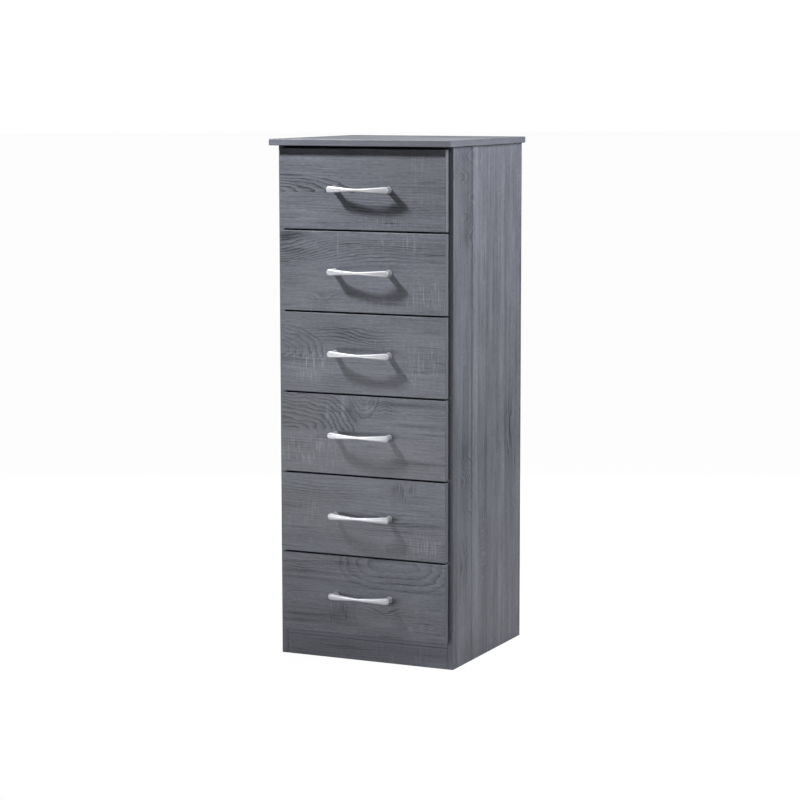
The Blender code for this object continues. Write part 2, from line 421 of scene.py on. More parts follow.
FRONT_FIGURES = {
    1: Figure(
        arches=(Arch(-0.225, -0.008, 0.205, 0.042, 6.0, lowest=-0.008, strength=0.85),),
        swells=((0.060, -0.040, 0.100, 0.030, 1.0),),
        patches=((-0.150, -0.050, 0.060, 0.022, 0.06), (0.160, 0.030, 0.060, 0.040, -0.05)),
        marks=((0.055, -0.074, 0.045, 0.016, 0.7), (0.150, 0.010, 0.050, 0.050, 0.3)),
        lean=2.0,
    ),
    2: Figure(
        swells=((-0.215, 0.040, 0.090, 0.044, 4.0), (-0.100, -0.066, 0.036, 0.016, 2.6),
                (0.040, 0.050, 0.120, 0.030, -1.5)),
        patches=((-0.205, 0.078, 0.036, 0.009, -0.34), (-0.175, 0.089, 0.040, 0.008, -0.32),
                 (-0.150, 0.056, 0.045, 0.008, 0.10), (-0.190, 0.050, 0.040, 0.006, -0.14),
                 (-0.061, 0.064, 0.0014, 0.034, 0.26), (-0.120, -0.040, 0.070, 0.030, 0.05),
                 (0.000, 0.000, 0.300, 0.120, 0.05)),
        marks=((0.128, 0.074, 0.026, 0.030, 0.9), (0.050, 0.085, 0.009, 0.016, 0.9),
               (0.165, -0.048, 0.050, 0.036, 1.0), (0.040, -0.070, 0.060, 0.020, 0.5)),
        lean=-6.0,
    ),
    3: Figure(
        arches=(Arch(-0.225, 0.004, 0.130, 0.060, 7.0, lowest=-0.012, strength=0.45),),
        swells=((-0.060, 0.050, 0.070, 0.024, -1.6), (0.020, 0.040, 0.060, 0.020, 1.2)),
        patches=((-0.170, -0.020, 0.070, 0.004, -0.16), (-0.040, 0.040, 0.100, 0.004, -0.12),
                 (-0.140, -0.030, 0.050, 0.040, 0.05)),
        marks=((-0.135, -0.022, 0.040, 0.040, 1.1), (0.165, -0.010, 0.050, 0.036, 0.9)),
        lean=3.0,
    ),
    4: Figure(
        arches=(Arch(-0.225, 0.008, 0.215, 0.096, 10.0, lowest=0.010, strength=1.0,
                     square=3.4, wobble=2.6),
                Arch(0.004, 0.100, 0.040, 0.062, 4.0, strength=0.55, wobble=2.2)),
        swells=((0.060, 0.072, 0.020, 0.026, -1.5),),
        patches=((-0.030, 0.060, 0.010, 0.016, -0.30), (-0.018, 0.040, 0.010, 0.014, -0.22),
                 (-0.050, 0.066, 0.005, 0.030, 0.22), (0.012, 0.066, 0.006, 0.020, 0.14),
                 (-0.104, 0.030, 0.010, 0.022, -0.14), (-0.090, 0.050, 0.004, 0.024, 0.20),
                 (0.110, 0.078, 0.100, 0.006, -0.34), (0.150, 0.030, 0.060, 0.004, -0.24),
                 (0.150, -0.056, 0.065, 0.005, -0.30), (0.000, 0.000, 0.300, 0.120, -0.025)),
        marks=((-0.140, -0.038, 0.070, 0.036, 1.2),),
        lean=-2.0,
    ),
    5: Figure(
        swells=((-0.120, 0.050, 0.110, 0.026, 1.8), (0.070, -0.015, 0.110, 0.030, 2.0)),
        patches=((0.130, -0.012, 0.090, 0.004, -0.30), (0.100, -0.028, 0.080, 0.003, -0.24),
                 (0.085, 0.072, 0.012, 0.016, -0.16), (-0.180, 0.020, 0.060, 0.003, -0.20)),
        marks=((0.110, 0.068, 0.034, 0.024, -1.7), (0.158, -0.055, 0.052, 0.030, 0.9),
               (-0.150, 0.000, 0.060, 0.030, 0.4)),
        lean=4.0,
    ),
    6: Figure(
        arches=(Arch(0.080, 0.080, 0.142, 0.060, 4.0, strength=0.42, square=4.0, wobble=0.6),),
        swells=((0.058, -0.034, 0.034, 0.014, 2.0), (-0.160, 0.060, 0.050, 0.020, 1.6)),
        patches=((-0.060, -0.046, 0.034, 0.026, -0.16), (-0.160, 0.034, 0.110, 0.004, -0.26),
                 (-0.160, -0.054, 0.070, 0.005, -0.30), (-0.170, -0.068, 0.060, 0.005, -0.30),
                 (-0.150, 0.050, 0.100, 0.004, -0.22), (-0.040, 0.076, 0.060, 0.004, -0.20)),
        marks=((-0.060, -0.044, 0.038, 0.030, -1.0), (0.140, -0.060, 0.050, 0.018, 0.4)),
        lean=-3.0,
    ),
}

PLINTH_FIGURE = Figure(
    swells=((-0.080, 0.000, 0.090, 0.020, 1.0),),
    patches=((0.000, 0.010, 0.200, 0.010, -0.05),),
    marks=((0.137, 0.000, 0.022, 0.020, 0.7), (-0.020, 0.010, 0.030, 0.015, 0.3)),
    banding=0.10,
    depth=0.6,
)

SIDE_FIGURE = Figure(
    swells=((0.580, -0.130, 0.022, 0.040, 2.6), (0.532, -0.120, 0.022, 0.040, -2.8),
            (0.486, -0.130, 0.022, 0.040, 2.8), (0.440, -0.116, 0.022, 0.036, -2.4),
            (0.396, -0.126, 0.022, 0.030, 2.0), (-0.110, -0.130, 0.030, 0.036, 2.4),
            (-0.170, -0.124, 0.030, 0.036, -2.6), (-0.230, -0.130, 0.030, 0.036, 2.4),
            (-0.080, 0.120, 0.090, 0.030, 1.6), (-0.360, -0.130, 0.060, 0.030, -2.0)),
    patches=((0.000, -0.074, 2.000, 0.016, 0.16), (0.500, -0.130, 0.120, 0.030, -0.10),
             (-0.180, -0.140, 0.180, 0.012, -0.16), (0.000, -0.097, 2.000, 0.004, -0.26),
             (0.000, -0.190, 2.000, 0.010, -0.12), (0.000, -0.010, 2.000, 0.006, -0.12),
             (0.000, 0.080, 2.000, 0.016, 0.10)),
    marks=((-0.370, -0.030, 0.065, 0.020, 0.9),),
    drift=2.0,
    banding=0.50,
    coarse=2.2,
)

TOP_FIGURE = Figure(
    swells=((-0.080, -0.080, 0.130, 0.050, 4.0), (0.120, 0.090, 0.120, 0.050, -4.0)),
    patches=((0.060, -0.030, 0.160, 0.050, 0.08),),
    marks=((-0.120, 0.120, 0.050, 0.060, 0.4),),
)

HIDDEN_FIGURE = Figure(swells=((0.0, 0.0, 0.120, 0.060, 4.0),))


# ---- Finishes ----

class Board:
    """A place on one board's print: its run along the grain and its rise across it.

    Both are measured from the middle of the board.
    """

    def __init__(self, finish, node, along, across, seed):
        self.finish = finish
        self.seed = float(seed)
        low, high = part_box(node)
        through = ({X, Y, Z} - {along, across}).pop()
        point = (finish.place() - tuple((low + high) / 2)).parts()
        facing = finish.facing().parts()

        # The band on an edge has its own grain, along the edge and away from the face's print.
        on_end = abs(facing[along]) > 0.5
        self.on_edge = 1.0 - (abs(facing[through]) > 0.5)
        self.run = point[along] + on_end * (point[across] - point[along])
        self.rise = point[across] + self.on_edge * (point[through] + BAND_OFFSET - point[across])
        self.grain = finish.vector(self.run, self.rise, self.seed)

        # A line shows where the band meets the face.
        face = (high[through] - low[through]) / 2
        self.seam = abs(point[through]).smooth(face - 0.0011, face - 0.0005) * self.on_edge

    def noise(self, *scale, **kind):
        """Noise of so many waves to the metre along and across the grain.

        The third number sets it apart from the other noises of the board.
        """
        return self.finish.noise(self.grain * scale, **kind)

    def bell(self, along, across, spread_along, spread_across):
        """1 at a place on the board, falling away all round it."""
        offset = self.grain - (along, across, self.seed)
        offset = offset * (1.0 / spread_along, 1.0 / spread_across, 0.0)
        return (-offset.dot(offset)).exp()


def growth_rings(board, figure, ring_width):
    """The dark late wood of each ring, and the same where it is clear to see."""
    rings = board.rise / (ring_width * figure.coarse) + board.run * figure.lean
    rings = rings + (board.noise(3.0, 13.0, 1.0, detail=1.5) - 0.5) * figure.drift
    clear = board.noise(5.0, 26.0, 2.0, detail=1.0).smooth(0.40, 0.70, 0.0, 0.45)
    for *place, moved in figure.swells:
        swell = board.bell(*place)
        rings = rings + swell * moved
        clear = clear + swell
    for arch in figure.arches:
        away = (abs(board.run - arch.along) / arch.length) ** arch.square
        away = away + ((board.rise - arch.across) / arch.width) ** 2.0
        inside = (away < 1.0) * (board.rise > arch.lowest)
        wobble = board.noise(15.0, 26.0, 11.0, detail=1.0) - 0.5
        ovals = away ** 0.5 * arch.rings + wobble * arch.wobble
        rings = rings + inside * (ovals - rings)
        clear = clear + inside * arch.strength
    waver = board.noise(34.0, 90.0, 1.0, detail=1.5) - 0.5
    ring = (rings + waver * 0.9).fraction()
    late_wood = ring ** 2.6 * ring.smooth(1.0, 0.93)
    return late_wood, late_wood * clear


def saw_strokes(board, figure):
    """Short strokes of the saw across the grain, on the faces and mostly in clusters."""
    marked = board.noise(11.0, 18.0, 7.0, detail=0.0).smooth(0.56, 0.74, 0.0, 0.25)
    for *place, strength in figure.marks:
        marked = marked + board.bell(*place) * strength
    strokes = board.noise(240.0, 24.0, 8.0, detail=1.0, roughness=0.4)
    return strokes.smooth(0.48, 0.70) * marked * (1.0 - board.on_edge)


def laminate(name, node, along, across, figure, seed, settings):
    """Sawn-oak print on one board: growth rings, fibres, pores, and saw marks across the grain."""
    finish = Finish(name, Specular_IOR_Level=0.42, Metallic=0.0)
    board = Board(finish, node, along, across, seed)
    late_wood, lines = growth_rings(board, figure, settings.ring_width)
    strokes = saw_strokes(board, figure)
    streak = board.noise(9.0, 210.0, 3.0, detail=3.0, roughness=0.7) - 0.5
    fibre = board.noise(70.0, 620.0, 4.0, detail=2.0, roughness=0.6) - 0.5
    band = board.noise(1.6, 62.0, 5.0, detail=1.5, roughness=0.6) - 0.5
    cloud = board.noise(6.0, 16.0, 5.0, detail=2.0) - 0.5
    dash = board.noise(8.0, 190.0, 10.0, detail=2.0).smooth(0.58, 0.74)
    pore = board.noise(90.0, 1500.0, 6.0, detail=0.0).smooth(0.66, 0.78)
    warm = board.noise(4.0, 9.0, 9.0, detail=0.0).smooth(0.5, 0.72, 0.0, 0.10)

    contrast = (1.0 - board.on_edge * 0.55) * figure.depth
    soft_print = streak * 0.56 + fibre * 0.60 + cloud * 0.26 + band * figure.banding
    tone = 0.55 + contrast * (soft_print - lines * 0.55 - dash * 0.26)
    tone = tone - pore * 0.10 + strokes * (0.44 * settings.saw_marks) - board.seam * 0.22
    for *place, lift in figure.patches:
        tone = tone + board.bell(*place) * lift
    wood = finish.ramp(tone, (
        (0.08, tuple(settings.dark)), (0.52, tuple(settings.middle)), (0.98, tuple(settings.light)),
    ))
    height = fibre * 0.6 - lines * 0.5 - pore + strokes * 0.3
    return finish.shade(
        Base_Color=finish.mix(warm, wood, tuple(settings.tint)),
        Roughness=settings.roughness + streak * 0.25 - late_wood * 0.05,
        Normal=finish.bump(height, 0.00012, 0.6),
    )


def satin_metal(name, settings, shade, roughness):
    """Satin silver of the handles: fine brushing along the strap."""
    finish = Finish(name, Metallic=0.35, Specular_IOR_Level=0.6)
    place = finish.place()
    brushing = finish.noise(place * (60.0, 2600.0, 2600.0), detail=2.0) - 0.5
    wear = finish.noise(place * (70.0, 70.0, 70.0), detail=3.0).smooth(0.45, 0.7)
    # A shade below 1 gives a darker copy of the same metal: painted shade, used on the posts
    metal = dimmed(settings.metal, shade)
    return finish.shade(
        Base_Color=finish.mix(wear * 0.6, metal, dimmed(metal, 0.90)),
        Roughness=roughness + brushing * 0.16 + wear * 0.06,
        Normal=finish.bump(brushing, 0.00004, 0.5),
    )


def coated_steel(settings):
    """Enamelled sheet steel: a slight orange-peel surface with a few scuffs."""
    finish = Finish("runner_enamel", Metallic=0.0, Specular_IOR_Level=0.5)
    place = finish.place()
    peel = finish.noise(place * 900.0, detail=1.0) - 0.5
    scuff = finish.noise(place * (300.0, 12.0, 300.0), detail=3.0).smooth(0.62, 0.72)
    enamel = tuple(settings.enamel)
    return finish.shade(
        Base_Color=finish.mix(scuff * 0.5, enamel, dimmed(enamel, 0.55)),
        Roughness=0.36 + scuff * 0.15 + peel * 0.08,
        Normal=finish.bump(peel, 0.00005, 0.5),
    )


def plated_steel(settings):
    """Zinc-plated screws, cams and nails."""
    finish = Finish("plated_steel", Metallic=0.9)
    place = finish.place()
    bloom = finish.noise(place * 450.0, detail=3.0)
    zinc = tuple(settings.zinc)
    return finish.shade(
        Base_Color=finish.mix(bloom.smooth(0.4, 0.65), zinc, dimmed(zinc, 0.62)),
        Roughness=0.30 + bloom * 0.25,
    )


def nylon(settings):
    """Moulded nylon rollers."""
    finish = Finish("roller_nylon", Metallic=0.0, IOR=1.53)
    place = finish.place()
    rub = finish.noise(place * 260.0, detail=3.0)
    white = tuple(settings.nylon)
    return finish.shade(
        Base_Color=finish.mix(rub.smooth(0.45, 0.75), white, dimmed(white, 0.74)),
        Roughness=0.38 + rub * 0.2,
    )


def foil_board(settings):
    """Foil-wrapped chipboard of the drawer boxes, with a faint linen print."""
    finish = Finish("drawer_foil", Metallic=0.0, Specular_IOR_Level=0.4)
    place = finish.place()
    long_threads = finish.noise(place * (90.0, 90.0, 1600.0), detail=1.0) - 0.5
    cross_threads = finish.noise(place * (1600.0, 1600.0, 90.0), detail=1.0) - 0.5
    threads = long_threads + cross_threads
    cloud = finish.noise(place * 9.0, detail=2.0)
    worn = cloud.smooth(0.35, 0.7) * 0.5 + threads * 0.8
    foil = tuple(settings.foil)
    return finish.shade(
        Base_Color=finish.mix(worn, foil, dimmed(foil, 0.80)),
        Roughness=0.52 + threads * 0.15,
        Normal=finish.bump(threads, 0.00005, 0.5),
    )


def hardboard(name, axis, bare_side, settings):
    """Hardboard: painted on one side, bare and pressed with a fine mesh on the other."""
    finish = Finish(name, Metallic=0.0, Specular_IOR_Level=0.3)
    place = finish.place()
    facing = finish.facing().parts()[axis]
    bare = (facing * bare_side) > -0.5
    flecks = finish.noise(place * 420.0, detail=3.0, roughness=0.65)
    clumps = finish.noise(place * 36.0, detail=3.0)
    across, along, upward = [(part * 2400.0).sine() for part in place.parts()]
    mesh = across + along + upward
    fibre = tuple(settings.fibre)
    paint = tuple(settings.paint)
    raw = finish.mix(flecks.smooth(0.35, 0.68) * 0.7 + clumps * 0.3, fibre, dimmed(fibre, 0.55))
    painted = finish.mix(clumps.smooth(0.35, 0.7), paint, dimmed(paint, 0.86))
    return finish.shade(
        Base_Color=finish.mix(bare, painted, raw),
        Roughness=0.42 + bare * 0.36,
        Normal=finish.bump(bare * (mesh * 0.2 + flecks), 0.00015, 0.6),
    )


def give_finish(node, material):
    """Puts a finish on a CAD node."""
    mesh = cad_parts[node].data
    mesh.materials.clear()
    mesh.materials.append(material)


# ---- Meshes ----

class Piece:
    """A mesh being made, with the finishes that its parts name by number."""

    def __init__(self, name, *materials):
        self.name = name
        self.materials = materials
        self.mesh = bmesh.new()

    def loft(self, rings, material=0):
        """Skins a run of closed rings and caps both ends."""
        loops = [[self.mesh.verts.new(point) for point in ring] for ring in rings]
        faces = [self.mesh.faces.new(loops[0][::-1]), self.mesh.faces.new(loops[-1])]
        for near, far in zip(loops, loops[1:]):
            for here, after in zip(range(len(near)), [*range(1, len(near)), 0]):
                faces.append(self.mesh.faces.new((near[here], near[after], far[after], far[here])))
        for face in faces:
            face.material_index = material

    def turned(self, profile, place, segments=24, material=0):
        """Turns (radius, height) points about the matrix's Z axis.

        A third number gives the ring four lobes, for a cross recess.
        """
        rings = []
        for radius, height, *lobes in profile:
            lobe = lobes[0] if lobes else 0.0
            ring = []
            for step in range(segments):
                turn = 2 * math.pi * step / segments
                reach = radius + lobe * math.cos(4 * turn)
                ring.append(place @ Vector((reach * math.cos(turn), reach * math.sin(turn), height)))
            rings.append(ring)
        self.loft(rings, material)

    def extruded(self, outline, start, end, material=0):
        """Runs an (x, z) outline from one y to another."""
        self.loft([[(x, y, z) for x, z in outline] for y in (start, end)], material)

    def place(self, body, slot, sharp=math.radians(35), stands_for=()):
        """Makes the object, shaded, finished and riding on its body."""
        bmesh.ops.recalc_face_normals(self.mesh, faces=self.mesh.faces)
        mesh = bpy.data.meshes.new(self.name)
        self.mesh.to_mesh(mesh)
        self.mesh.free()
        mesh.shade_smooth()
        mesh.set_sharp_from_angle(angle=sharp)
        for material in self.materials:
            mesh.materials.append(material)
        piece = bpy.data.objects.new(self.name, mesh)
        bpy.context.scene.collection.objects.link(piece)
        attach(piece, body)
        if stands_for:
            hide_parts(*stands_for)


def out_along(axis, sign, point):
    """A matrix at a point, whose Z axis looks one way along an axis of the chest."""
    direction = Vector((0.0, 0.0, 0.0))
    direction[axis] = sign
    turn = direction.to_track_quat("Z", "Y").to_matrix().to_4x4()
    return Matrix.Translation(Vector(point)) @ turn


def screw_profile(radius):
    """Pan head with a cross recess."""
    return (
        (0.90 * radius, -SUNK), (radius, 0.10 * radius), (0.96 * radius, 0.28 * radius),
        (0.80 * radius, 0.46 * radius), (0.62 * radius, 0.55 * radius),
        (0.30 * radius, 0.60 * radius, 0.16 * radius),
        (0.20 * radius, 0.25 * radius, 0.10 * radius),
    )


def cam_profile(radius):
    """Flat cam lock with a cross recess."""
    return (
        (radius, -SUNK), (radius, 0.00035), (0.95 * radius, 0.00055),
        (0.34 * radius, 0.00055, 0.18 * radius), (0.26 * radius, 0.00012, 0.13 * radius),
    )


def nail_profile(radius):
    """Low domed nail head."""
    return (
        (radius, -SUNK), (0.98 * radius, 0.00018), (0.80 * radius, 0.00034),
        (0.40 * radius, 0.00044),
    )


def flat_screw_profile():
    """Countersunk head with a cross recess, nearly flush."""
    return (
        (0.0030, -0.0001), (0.0028, 0.0003), (0.0010, 0.0004, 0.0005), (0.0007, 0.0001, 0.0003),
    )


def channel_rivet_profile(reach):
    """Rivet with a wide head, the axle of a carcass roller."""
    return (
        (0.0024, 0.0), (0.0024, reach - 0.0008), (0.0031, reach - 0.0006), (0.0028, reach),
        (0.0014, reach + 0.0004),
    )


def drawer_rivet_profile(reach):
    """Rivet with a domed head, the axle of a drawer roller."""
    return (
        (0.0022, 0.0), (0.0022, reach + 0.0008), (0.0028, reach + 0.0010), (0.0016, reach + 0.0016),
    )


def roller_profile(radius, width):
    """Roller with a shallow groove round its tread and a sunk hub."""
    half = width / 2
    return (
        (0.42 * radius, -half * 0.7), (0.50 * radius, -half), (0.93 * radius, -half),
        (radius, -half * 0.72), (radius, -half * 0.34), (0.955 * radius, -half * 0.2),
        (0.955 * radius, half * 0.2), (radius, half * 0.34), (radius, half * 0.72),
        (0.93 * radius, half), (0.50 * radius, half), (0.42 * radius, half * 0.7),
    )


# ---- Bow handles ----

def strap_half_height(settings, x):
    """Half height of the strap: a waist in the middle and rounded ends."""
    waist = settings.waist / 2
    end = (HANDLE_HIGH.z - HANDLE_LOW.z) / 2
    half_length = settings.length / 2
    flare = waist + (end - waist) * (abs(x) / half_length) ** 1.2
    into_round = max(0.0, abs(x) - (half_length - settings.end_round)) / settings.end_round
    return flare * math.sqrt(max(0.0, 1.0 - into_round ** 2))


def strap_ring(settings, x, centre, points=28):
    """Cross-section of the strap at x, square to its bow: flat faces and soft rims."""
    tip = 0.0012                 # half height of the very end
    reach = settings.standoff + settings.bow * (1 - (2 * x / settings.spacing) ** 2)
    slope = -8 * settings.bow * x / settings.spacing ** 2
    outward = Vector((-slope, -1.0, 0.0)).normalized()
    half_height = max(strap_half_height(settings, x), tip)
    full = (HANDLE_HIGH.z - HANDLE_LOW.z) / 2
    half_thick = settings.thickness / 2 * min(1.0, 0.55 + 0.75 * half_height / full)
    middle = centre + Vector((x, -reach, 0.0))
    ring = []
    for step in range(points):
        turn = 2 * math.pi * step / points
        over = math.copysign(abs(math.cos(turn)) ** 0.5, math.cos(turn))
        up = math.copysign(abs(math.sin(turn)) ** 0.62, math.sin(turn))
        ring.append(middle + outward * (half_thick * over) + Vector((0.0, 0.0, half_height * up)))
    return ring


def strap_places(settings):
    """Places along the strap, close together where its ends round off."""
    straight = settings.length / 2 - settings.end_round
    steps, round_steps = 18, 10
    inner = [straight * step / steps for step in range(-steps, steps + 1)]
    rounded = [straight + settings.end_round * math.sin(math.pi / 2 * step / round_steps)
               for step in range(1, round_steps + 1)]
    return [-place for place in reversed(rounded)] + inner + rounded


def post_profile(settings):
    """Post that narrows from a small foot and opens slightly into the back of the strap."""
    foot, neck = settings.foot, settings.neck
    inside_strap = settings.standoff - settings.thickness * 0.2
    return (
        (foot - 0.0002, 0.0), (foot, 0.0003), (foot, 0.0012), (foot - 0.0003, 0.0018),
        (neck + 0.0004, 0.0032), (neck + 0.0001, 0.0070), (neck, 0.0120), (neck, 0.0165),
        (neck + 0.0001, 0.0195), (neck + 0.0002, inside_strap),
    )


# ---- Operators ----

def show_white(tree, shader, kind, strength, factor, surface):
    """Lets a shader light the chest, and shows plain white to the eye in its place."""
    seen = tree.node("ShaderNodeLightPath", {}, {}, "Is Camera Ray")
    white = tree.node(kind, {}, {"Color": (1.0, 1.0, 1.0), "Strength": strength})
    lit = Socket(tree, shader.outputs[0])
    tree.feed(surface, tree.node("ShaderNodeMixShader", {}, {0: seen * factor, 1: lit, 2: white}))


class CHEST_OT_stage(bpy.types.Operator):
    """Set up the camera, the pale floor and the soft studio lights"""

    bl_idname = "chest.stage"
    bl_label = "Stage"

    def execute(self, context):
        settings = context.scene.chest_stage
        self.add_camera(context, settings)
        self.add_floor(context, settings)
        self.set_world(context, settings)
        self.add_lights(context, settings)
        context.scene.view_settings.view_transform = "Standard"
        return {"FINISHED"}

    def add_camera(self, context, settings):
        camera = bpy.data.objects.new("camera", bpy.data.cameras.new("camera"))
        context.scene.collection.objects.link(camera)
        camera.data.lens = settings.lens
        camera.data.clip_end = 200.0
        camera.matrix_world = (
            Matrix.Translation(Vector(settings.camera_place))
            @ Matrix.Rotation(settings.camera_turn, 4, "Z")
            @ Matrix.Rotation(math.pi / 2 - settings.camera_dip, 4, "X")
            @ Matrix.Rotation(settings.camera_roll, 4, "Z")
        )
        context.scene.camera = camera

    def add_floor(self, context, settings):
        """A wide white floor that glows enough to stay white up to the chest."""
        made = bmesh.new()
        bmesh.ops.create_circle(made, cap_ends=True, segments=96, radius=60.0)
        mesh = bpy.data.meshes.new("floor")
        made.to_mesh(mesh)
        made.free()
        finish = Finish("floor_white", Roughness=0.9, Specular_IOR_Level=0.1)
        paper = finish.noise(finish.place() * 4.0, detail=2.0)
        finish.shade(Base_Color=finish.mix(paper, (0.50, 0.50, 0.50), (0.47, 0.47, 0.47)))
        surface = finish.first("OUTPUT_MATERIAL").inputs["Surface"]
        show_white(finish, finish.shader, "ShaderNodeEmission", settings.white, 0.93, surface)
        mesh.materials.append(finish.material)
        floor = bpy.data.objects.new("floor", mesh)
        floor.location.z = -0.0005
        context.scene.collection.objects.link(floor)

    def set_world(self, context, settings):
        """White where it is seen, and softer where it lights the chest."""
        world = bpy.data.worlds.new("studio")
        context.scene.world = world
        studio = Tree(world)
        soft = studio.first("BACKGROUND")
        studio.feed(soft.inputs["Color"], (0.96, 0.98, 1.0))
        studio.feed(soft.inputs["Strength"], settings.ambient)
        surface = studio.first("OUTPUT_WORLD").inputs["Surface"]
        show_white(studio, soft, "ShaderNodeBackground", settings.white, 1.0, surface)

    def add_lights(self, context, settings):
        key = bpy.data.lights.new("key", "SPOT")
        key.energy = settings.key_power
        key.spot_size = math.radians(43.0)
        key.spot_blend = 1.0
        key.shadow_soft_size = 0.12
        self.aim(context, key, (-1.15, -1.00, 2.35), (0.02, -0.20, 1.13))
        low = self.panel("low_front", settings.low_power, 1.6, 0.4)
        low.spread = math.radians(100.0)
        self.aim(context, low, (-0.62, -1.30, 0.36), (-0.10, -0.20, 0.30))
        rear = self.panel("rear", settings.rear_power, 2.4, 0.9)
        self.aim(context, rear, (-1.00, 2.40, 0.66), (0.0, 0.23, 0.62))
        overhead = self.panel("overhead", settings.overhead_power, 1.6, 1.6)
        overhead.shape = "DISK"
        overhead.color = (1.0, 0.965, 0.90)
        self.aim(context, overhead, (0.0, 0.90, 3.20), (0.0, 0.10, 1.22))
        fill = self.panel("fill", settings.fill_power, 1.0, 1.2)
        self.aim(context, fill, (1.55, -0.10, 1.75), (0.20, 0.02, 1.00))

    def panel(self, name, watts, width, height):
        """A flat soft light."""
        light = bpy.data.lights.new(name, "AREA")
        light.energy = watts
        light.shape = "RECTANGLE"
        light.size = width
        light.size_y = height
        return light

    def aim(self, context, light, place, target):
        """Hangs a light at a place, facing a target."""
        lamp = bpy.data.objects.new(light.name, light)
        lamp.location = place
        towards = Vector(target) - Vector(place)
        lamp.rotation_euler = towards.to_track_quat("-Z", "Y").to_euler()
        lamp.visible_camera = False
        context.scene.collection.objects.link(lamp)


class CHEST_OT_fitting_finishes(bpy.types.Operator):
    """Make the finishes that the runners, rollers, screws, cams and nails share"""

    bl_idname = "chest.fitting_finishes"
    bl_label = "Fitting finishes"

    def execute(self, context):
        settings = context.scene.chest_fittings
        coated_steel(settings)
        plated_steel(settings)
        nylon(settings)
        return {"FINISHED"}


class CHEST_OT_carcass(bpy.types.Operator):
    """Finish the laminate boards of the carcass"""

    bl_idname = "chest.carcass"
    bl_label = "Carcass boards"

    def execute(self, context):
        settings = context.scene.chest_laminate
        boards = (
            ("top_panel", X, Y, TOP_FIGURE),
            ("left_side_panel", Z, Y, SIDE_FIGURE),
            ("right_side_panel", Z, Y, SIDE_FIGURE),
            ("plinth_front", X, Z, PLINTH_FIGURE),
            ("plinth_rear", X, Z, HIDDEN_FIGURE),
            ("bottom_panel", X, Y, HIDDEN_FIGURE),
            ("middle_rail", X, Y, HIDDEN_FIGURE),
            ("top_front_rail", X, Y, HIDDEN_FIGURE),
            ("top_rear_rail", X, Y, HIDDEN_FIGURE),
        )
        for seed, (node, along, across, figure) in enumerate(boards, start=20):
            give_finish(node, laminate(f"laminate_{node}", node, along, across, figure, seed, settings))
        return {"FINISHED"}


class CHEST_OT_back(bpy.types.Operator):
    """Finish the back panel and nail it on"""

    bl_idname = "chest.back"
    bl_label = "Back panel"

    def execute(self, context):
        fittings = context.scene.chest_fittings
        give_finish("back_panel", hardboard("hardboard_back", Y, 1.0, context.scene.chest_boards))
        low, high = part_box("back_panel")
        inset = 0.007
        piece = Piece("back_panel_nails", bpy.data.materials["plated_steel"])
        left, right = low.x + inset, high.x - inset
        floor, top = low.z + inset, high.z - inset
        rows = round((top - floor) / fittings.nail_pitch)
        columns = round((right - left) / fittings.nail_pitch)
        places = [(x, floor + (top - floor) * row / rows)
                  for x in (left, right) for row in range(rows + 1)]
        places += [(left + (right - left) * column / columns, z)
                   for z in (floor, top) for column in range(1, columns)]
        for x, z in places:
            piece.turned(nail_profile(fittings.nail_radius), out_along(Y, 1, (x, high.y, z)), 12)
        piece.place("carcass", "runner_steel")
        return {"FINISHED"}


class CHEST_OT_runners(bpy.types.Operator):
    """Finish the runners and add their rollers and screws"""

    bl_idname = "chest.runners"
    bl_label = "Runners"

    def execute(self, context):
        settings = context.scene.chest_fittings
        enamel = bpy.data.materials["runner_enamel"]
        for number in DRAWERS:
            for hand, sign in HANDS:
                node = f"drawer_{number}_{hand}_runner"
                give_finish(node, enamel)
                self.add_fixings(settings, node, sign)
        return {"FINISHED"}

    def add_fixings(self, settings, node, sign):
        """Front roller on its rivet, and three screws through the web."""
        low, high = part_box(node)
        inner_web = (high.x if sign > 0 else low.x) - sign * (settings.steel + SUNK)
        axle_y = low.y + 0.0095
        axle_z = low.z + settings.steel + ROLLER_PLAY + settings.roller_radius
        piece = Piece(
            f"{node}_fixings", bpy.data.materials["plated_steel"], bpy.data.materials["roller_nylon"],
        )
        roller_x = inner_web - sign * (settings.roller_width / 2 + ROLLER_PLAY)
        roller = roller_profile(settings.roller_radius, settings.roller_width)
        piece.turned(roller, out_along(X, -sign, (roller_x, axle_y, axle_z)), 32, material=1)
        rivet = channel_rivet_profile(settings.roller_width + 0.0014)
        piece.turned(rivet, out_along(X, -sign, (inner_web, axle_y, axle_z)), 16)
        middle_z = (low.z + high.z) / 2
        for along in (0.16, 0.52, 0.90):
            point = (inner_web, low.y + (high.y - low.y) * along, middle_z)
            piece.turned(screw_profile(settings.screw_radius), out_along(X, -sign, point), 24)
        piece.place("carcass", "runner_steel")


class CHEST_OT_drawer_fronts(bpy.types.Operator):
    """Finish the six drawer fronts"""

    bl_idname = "chest.drawer_fronts"
    bl_label = "Drawer fronts"

    def execute(self, context):
        settings = context.scene.chest_laminate
        for number in DRAWERS:
            node = f"drawer_{number}_front"
            material = laminate(
                f"laminate_{node}", node, X, Z, FRONT_FIGURES[number], number, settings,
            )
            give_finish(node, material)
        return {"FINISHED"}


